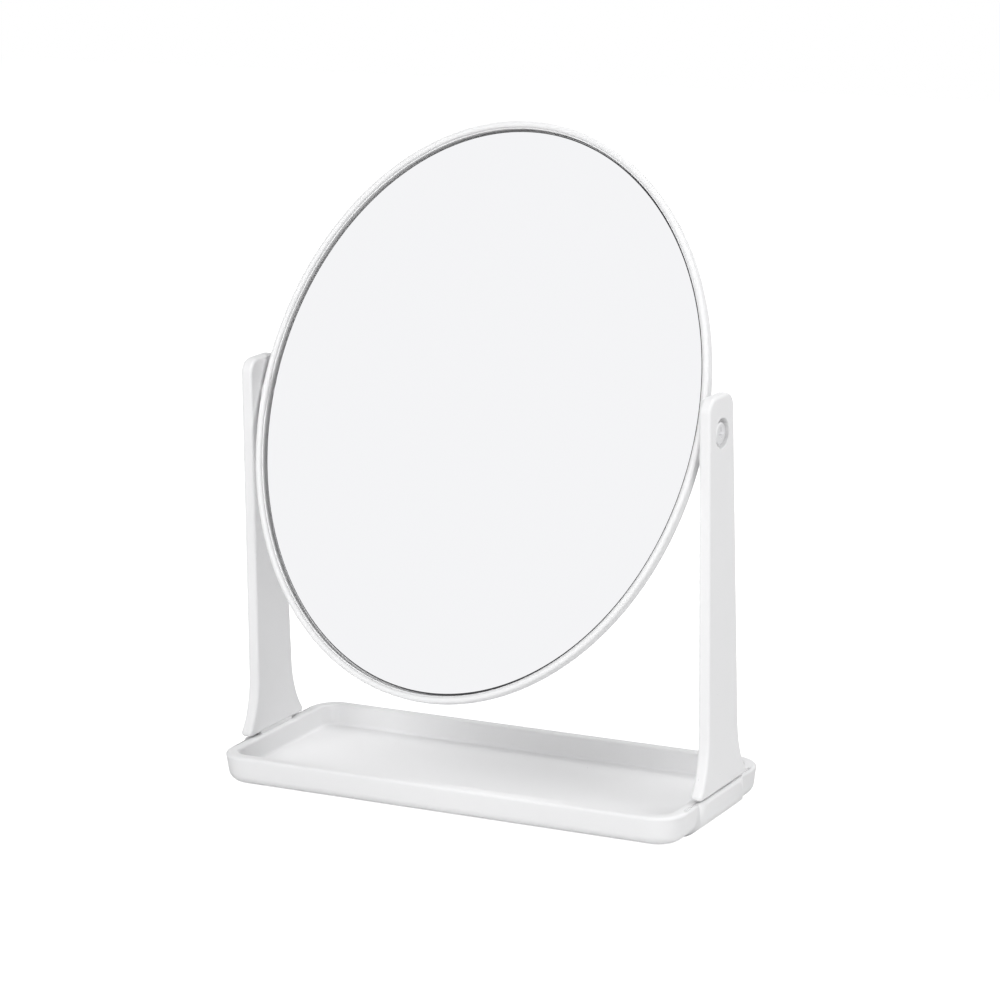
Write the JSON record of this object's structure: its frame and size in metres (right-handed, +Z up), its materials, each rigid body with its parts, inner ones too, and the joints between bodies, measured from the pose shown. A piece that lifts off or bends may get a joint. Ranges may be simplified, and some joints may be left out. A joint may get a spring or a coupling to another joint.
{
  "type": "table mirror with tray",
  "caption": "Oval table mirror that tilts between two flat arms standing on a shallow open tray for small things.",
  "frame": {"origin": "centre of the tray's footprint on the table", "axes": "+Z up, +X along the pivot line to the viewer's right, +Y away from the viewer, so the mirror faces -Y and leans back"},
  "size_m": [0.1596, 0.0798, 0.2017],
  "materials": {
    "white_plastic": "white moulded plastic with a fine satin texture",
    "mirror": "silvered float glass with a ground edge",
    "screw_steel": "pale zinc-plated steel",
    "nylon": "natural white nylon",
    "rubber": "pale grey soft rubber",
    "tape": "white double-sided foam tape"
  },
  "bodies": {
    "stand": {"tray": "white_plastic", "left_arm": "white_plastic", "right_arm": "white_plastic", "foot_pad_1": "rubber", "foot_pad_2": "rubber", "foot_pad_3": "rubber", "foot_pad_4": "rubber", "left_friction_washer": "nylon", "right_friction_washer": "nylon"},
    "head": {"mirror_ring": "white_plastic", "back_plate": "white_plastic", "mirror_glass": "mirror", "tape_strip_1": "tape", "tape_strip_2": "tape", "tape_strip_3": "tape", "left_pivot_screw": "screw_steel", "right_pivot_screw": "screw_steel", "left_spacer_washer": "nylon", "right_spacer_washer": "nylon"}
  },
  "joints": [
    {"name": "mirror_tilt", "type": "hinge", "parent": "stand", "child": "head", "pos_m": [0, 0, 0.1184], "axis": [1, 0, 0], "continuous": true}
  ]
}
